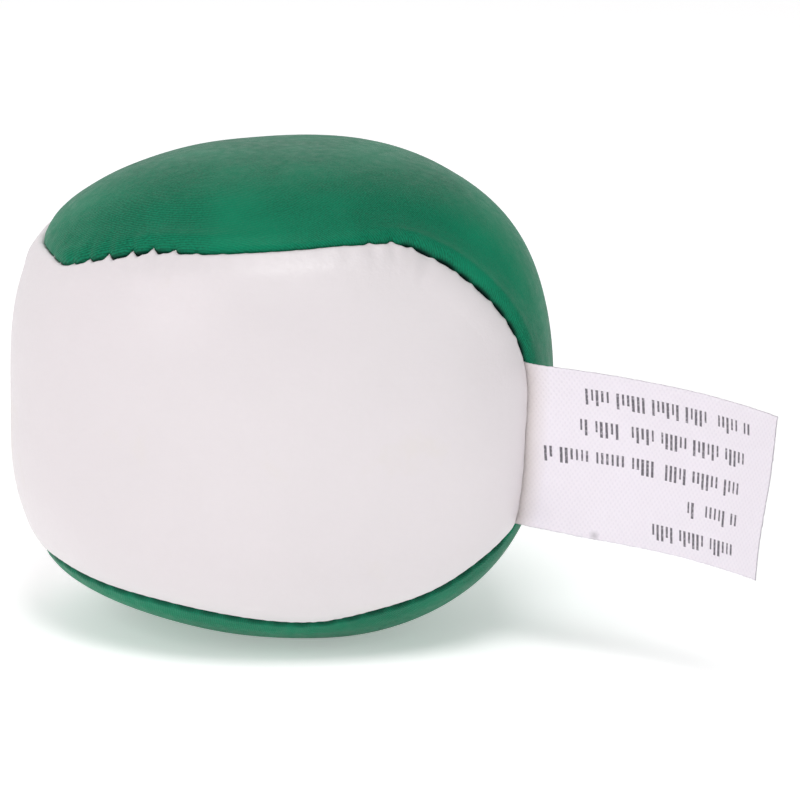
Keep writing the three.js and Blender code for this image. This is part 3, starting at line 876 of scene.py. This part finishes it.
def green_skin():
    s = Shader("green_skin")
    where = s.node("ShaderNodeTexCoord").outputs["Object"]
    flat = s.node("ShaderNodeUVMap", uv_map="flat").outputs[0]
    weave = twill(s, flat)
    patches = s.ramp(s.noise(where, scale=60.0), low=0.38, high=0.62)
    visible = s.math("MULTIPLY_ADD", patches, 0.6, 0.4)
    base = s.mix(s.noise(where, scale=90.0), *GREEN_TINTS)
    grooves = s.math("MULTIPLY", s.math("SUBTRACT", 1.0, weave), visible)
    cloth = s.mix(grooves, base, GREEN_GROOVE)
    # Painted shade in the seam, read from the panel's point attribute.
    seam_shade = s.node("ShaderNodeAttribute", attribute_name="seam_shade").outputs["Fac"]
    s.link(s.mix(seam_shade, cloth, GREEN_SEAM_SHADE), "Base Color")
    s.set("Specular IOR Level", 0.11)
    s.link(s.ramp(s.noise(where, scale=900.0), low=-0.8, high=2.1), "Roughness")
    grain = s.noise(where, scale=1900.0)
    s.link(s.bump(grain, 0.00003, s.bump(weave, WEAVE_DEPTH)), "Normal")
    return s.material


def thread_material():
    s = Shader("thread")
    where = s.node("ShaderNodeTexCoord").outputs["Object"]
    fibres = s.noise(where, scale=5200.0, detail=2.0)
    s.link(s.mix(fibres, *THREAD_TINTS), "Base Color")
    s.set("Roughness", 0.75)
    s.set("Sheen Weight", 0.3)
    s.link(s.bump(fibres, 0.00006), "Normal")
    return s.material


# Rows of print: distance from the upper edge, far end and near end along the label.
PRINT_ROWS = (
    (2.9, 27.9, 6.1),
    (6.5, 28.1, 5.5),
    (10.1, 27.3, 1.6),
    (13.7, 27.8, 20.2),
    (17.2, 27.8, 16.0),
)
PRINT_HALF_HEIGHT = 0.92
TICK_PITCH = 0.62
TICK_SLANT = 0.12
TALL_TICK = 0.3  # how much of the full height only tall ticks have
TALL_FROM = 0.62  # ticks whose chance is above this are tall
STROKE_LEAST, STROKE_EXTRA = 0.36, 0.2  # width of a stroke, in pitches
LETTER_STEP, ROW_STEP = 7.31, 41.7  # spread the ticks' chances along a row and from row to row
WORD_WAVE, WORD_ROW_SHIFT, WORD_GAP = 0.93, 2.1, 0.86  # a wave along each row, with gaps where it is high
LABEL_WARP, LABEL_WEFT = 0.58, 0.78  # repeats of its staggered dots, along and across
SMUDGE_PLACE = (9.0, -9.3, 0.0)


def print_mask(s, flat):
    """Rows of plain ticks of uneven height in word-like groups, where the real label is printed."""
    axes = s.node("ShaderNodeSeparateXYZ", {0: flat}).outputs
    along, across = axes[0], axes[1]
    total = None
    for number, (down, far, near) in enumerate(PRINT_ROWS):
        height = s.math("SUBTRACT", across, LABEL_WIDTH / 2 - down)
        slanted = s.math("MULTIPLY_ADD", height, TICK_SLANT, along)
        letter = s.math("MULTIPLY", s.math("SUBTRACT", far, slanted), 1 / TICK_PITCH)
        which = s.math("MULTIPLY_ADD", s.math("FLOOR", letter), LETTER_STEP, ROW_STEP * number)
        chance = s.node("ShaderNodeTexWhiteNoise", {"W": which}, noise_dimensions="1D").outputs["Value"]
        tall = s.math("GREATER_THAN", chance, TALL_FROM)
        extra = TALL_TICK * PRINT_HALF_HEIGHT
        reach = s.math("MULTIPLY_ADD", tall, extra, PRINT_HALF_HEIGHT - extra)
        middle = s.math("MULTIPLY_ADD", tall, -extra, extra)
        in_row = s.math("LESS_THAN", s.math("ABSOLUTE", s.math("SUBTRACT", height, middle)), reach)
        ticks = (far - near) // TICK_PITCH
        started, ended = s.math("GREATER_THAN", letter, 0.0), s.math("LESS_THAN", letter, ticks)
        inside = s.math("MULTIPLY", started, ended)
        width = s.math("MULTIPLY_ADD", chance, STROKE_EXTRA, STROKE_LEAST)
        stroke = s.math("LESS_THAN", s.math("FRACT", letter), width)
        wave = s.math("MULTIPLY", s.math("FLOOR", letter), WORD_WAVE)
        word = s.math("SINE", s.math("ADD", wave, WORD_ROW_SHIFT * number))
        in_word = s.math("LESS_THAN", word, WORD_GAP)
        row = s.math("MULTIPLY", s.math("MULTIPLY", in_row, inside), s.math("MULTIPLY", stroke, in_word))
        total = row if total is None else s.math("MAXIMUM", total, row)
    return total


def label_material():
    s = Shader("label")
    where = s.node("ShaderNodeTexCoord").outputs["Object"]
    flat = s.node("ShaderNodeUVMap", uv_map="flat").outputs[0]
    axes = s.node("ShaderNodeSeparateXYZ", {0: flat}).outputs
    warp = s.math("COSINE", s.math("MULTIPLY", axes[0], 2 * math.pi / LABEL_WARP))
    weft = s.math("COSINE", s.math("MULTIPLY", axes[1], 2 * math.pi / LABEL_WEFT))
    weave = s.ramp(s.math("MULTIPLY", warp, weft), low=-0.1, high=1.0)
    wear = s.math("MULTIPLY", s.noise(where, scale=160.0), 0.25)
    worn = s.mix(wear, s.mix(weave, *LABEL_TINTS), LABEL_WEAR)
    # Painted shade, darker towards the end of the label that goes into the seam.
    root = s.math("MULTIPLY", s.ramp(axes[0], low=2.6, high=0.2), 0.55)
    shaded = s.mix(root, worn, LABEL_ROOT_SHADE)
    away = s.node("ShaderNodeVectorMath", {0: flat, 1: SMUDGE_PLACE}, operation="DISTANCE").outputs["Value"]
    smudge = s.math("MULTIPLY", s.ramp(away, low=0.75, high=0.1), 0.5)
    dirty = s.mix(smudge, shaded, LABEL_SMUDGE)
    faded = s.ramp(s.noise(flat, scale=3.0), low=0.05, high=0.5)
    ink = s.math("MULTIPLY", print_mask(s, flat), faded)
    s.link(s.mix(ink, dirty, INK), "Base Color")
    s.set("Roughness", 0.6)
    s.set("Sheen Weight", 0.2)
    s.link(s.bump(weave, WEAVE_DEPTH), "Normal")
    return s.material


def pellet_material():
    s = Shader("pellets")
    where = s.node("ShaderNodeTexCoord").outputs["Object"]
    s.link(s.mix(s.noise(where, scale=300.0), *PELLET_TINTS), "Base Color")
    s.set("Roughness", 0.4)
    s.link(s.bump(s.noise(where, scale=1500.0), 0.00005), "Normal")
    return s.material


def dress(obj, material):
    obj.data.materials.clear()
    obj.data.materials.append(material)


# ---- Stage ----

FLOOR_HALF = 2.5  # metres, as are the places and sizes of the lights
FLOOR_GLOW = 0.34
# Name, place, size, watts and colour of each light.
LIGHTS = (
    ("key", (-0.10, -0.52, 1.05), 0.45, 5.5, (1.0, 1.0, 1.0)),
    ("left", (-0.80, -0.38, 0.50), 0.6, 2.8, (1.0, 0.91, 0.95)),
    ("right", (0.45, -0.75, 0.40), 0.6, 1.3, (0.98, 1.0, 1.0)),
)
ROOM_FORWARD = (0.10, -0.96, 0.25)  # the side of the ball that faces the photographer's room
ROOM_FADE = (-0.55, 0.1, 1.0, 0.22)  # white up to the first share of that direction, dim from the second

CAMERA_AZIMUTH, CAMERA_ELEVATION, CAMERA_ROLL = -19.2, 14.4, 0.87  # degrees
CAMERA_DISTANCE, FRAME_WIDTH = 587, 93.9  # millimetres from the waist point, and across the picture there
AIM_RIGHT, AIM_DOWN = 11.45, 0.86  # millimetres from the waist point to the picture's centre


def make_floor():
    material = bpy.data.materials.new("floor")
    material.use_nodes = True
    surface = material.node_tree.nodes["Principled BSDF"]
    surface.inputs["Base Color"].default_value = (0.95, 0.95, 0.95, 1)
    surface.inputs["Roughness"].default_value = 0.9
    surface.inputs["Specular IOR Level"].default_value = 0.1
    surface.inputs["Emission Color"].default_value = (1.0, 1.0, 1.0, 1)
    surface.inputs["Emission Strength"].default_value = FLOOR_GLOW
    mesh = bpy.data.meshes.new("floor")
    corners = [(x * FLOOR_HALF, y * FLOOR_HALF, 0) for x, y in ((-1, -1), (1, -1), (1, 1), (-1, 1))]
    mesh.from_pydata(corners, [], [(0, 1, 2, 3)])
    mesh.materials.append(material)
    floor = bpy.data.objects.new("floor", mesh)
    bpy.context.collection.objects.link(floor)


def make_world():
    """White all round, and dimmer where the photographer's room would be."""
    world = bpy.data.worlds.new("studio")
    bpy.context.scene.world = world
    world.use_nodes = True
    nodes, links = world.node_tree.nodes, world.node_tree.links
    forward = nodes.new("ShaderNodeVectorMath")
    forward.operation = "DOT_PRODUCT"
    links.new(nodes.new("ShaderNodeTexCoord").outputs["Generated"], forward.inputs[0])
    forward.inputs[1].default_value = ROOM_FORWARD
    dim = nodes.new("ShaderNodeMapRange")
    for number, value in enumerate(ROOM_FADE, start=1):
        dim.inputs[number].default_value = value
    links.new(forward.outputs["Value"], dim.inputs[0])
    seen = nodes.new("ShaderNodeMath")
    seen.operation = "MAXIMUM"
    links.new(dim.outputs[0], seen.inputs[0])
    links.new(nodes.new("ShaderNodeLightPath").outputs["Is Camera Ray"], seen.inputs[1])
    links.new(seen.outputs[0], nodes["Background"].inputs["Strength"])
    nodes["Background"].inputs["Color"].default_value = (1.0, 1.0, 1.0, 1.0)


def make_lights():
    centre = Vector(WAIST)
    for name, place, size, watts, colour in LIGHTS:
        light = bpy.data.lights.new(name, "AREA")
        light.size = size
        light.energy = watts
        light.color = colour
        lamp = bpy.data.objects.new(name, light)
        lamp.location = place
        lamp.rotation_euler = (centre - Vector(place)).to_track_quat("-Z", "Y").to_euler()
        bpy.context.collection.objects.link(lamp)


def make_camera():
    azimuth, elevation = math.radians(CAMERA_AZIMUTH), math.radians(CAMERA_ELEVATION)
    roll = math.radians(CAMERA_ROLL)
    distance = CAMERA_DISTANCE * MM
    back = Vector((
        math.sin(azimuth) * math.cos(elevation),
        -math.cos(azimuth) * math.cos(elevation),
        math.sin(elevation),
    ))
    level = Vector((math.cos(azimuth), math.sin(azimuth), 0))
    right = level * math.cos(roll) + back.cross(level) * math.sin(roll)
    place = Vector(WAIST) + back * distance
    target = Vector(WAIST) + right * (AIM_RIGHT * MM) - back.cross(right) * (AIM_DOWN * MM)
    look = (place - target).normalized()
    over = look.cross(right).normalized()
    side = over.cross(look)
    camera_data = bpy.data.cameras.new("camera")
    camera_data.sensor_width = 36
    camera_data.lens = camera_data.sensor_width * distance / (FRAME_WIDTH * MM)
    camera_data.clip_start = 0.01
    camera = bpy.data.objects.new("camera", camera_data)
    camera.matrix_world = Matrix((
        (side.x, over.x, look.x, place.x),
        (side.y, over.y, look.y, place.y),
        (side.z, over.z, look.z, place.z),
        (0, 0, 0, 1),
    ))
    bpy.context.collection.objects.link(camera)
    bpy.context.scene.camera = camera


# ---- The ball ----

bpy.context.scene.view_settings.view_transform = "Standard"
make_camera()
make_world()
make_lights()
make_floor()

seam = Seam(RING_POINTS)
sewing = Sewing(seam)
thread = thread_material()
label_cloth = label_material()
pellets = pellet_material()

white_panel = make_panel("white_panel_skin", WHITE, seam, sewing)
dress(white_panel, white_skin())
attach(white_panel, "ball")
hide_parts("white_panel")

green_panel = make_panel("green_panel_skin", GREEN, seam, sewing)
dress(green_panel, green_skin())
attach(green_panel, "ball")
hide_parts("green_panel")

stitches = make_stitches("closing_stitches", seam, sewing)
dress(stitches, thread)
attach(stitches, "ball")
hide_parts("closing_thread")

label = make_label("care_label_tape", seam)
dress(label, label_cloth)
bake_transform(label)
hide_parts("care_label", "label_sewn_end")

for node, material in (("needle_thread", thread), ("bobbin_thread", thread), ("packed_fill", pellets)):
    dress(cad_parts[node], material)
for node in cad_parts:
    if node.startswith("pellet_"):
        dress(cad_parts[node], pellets)
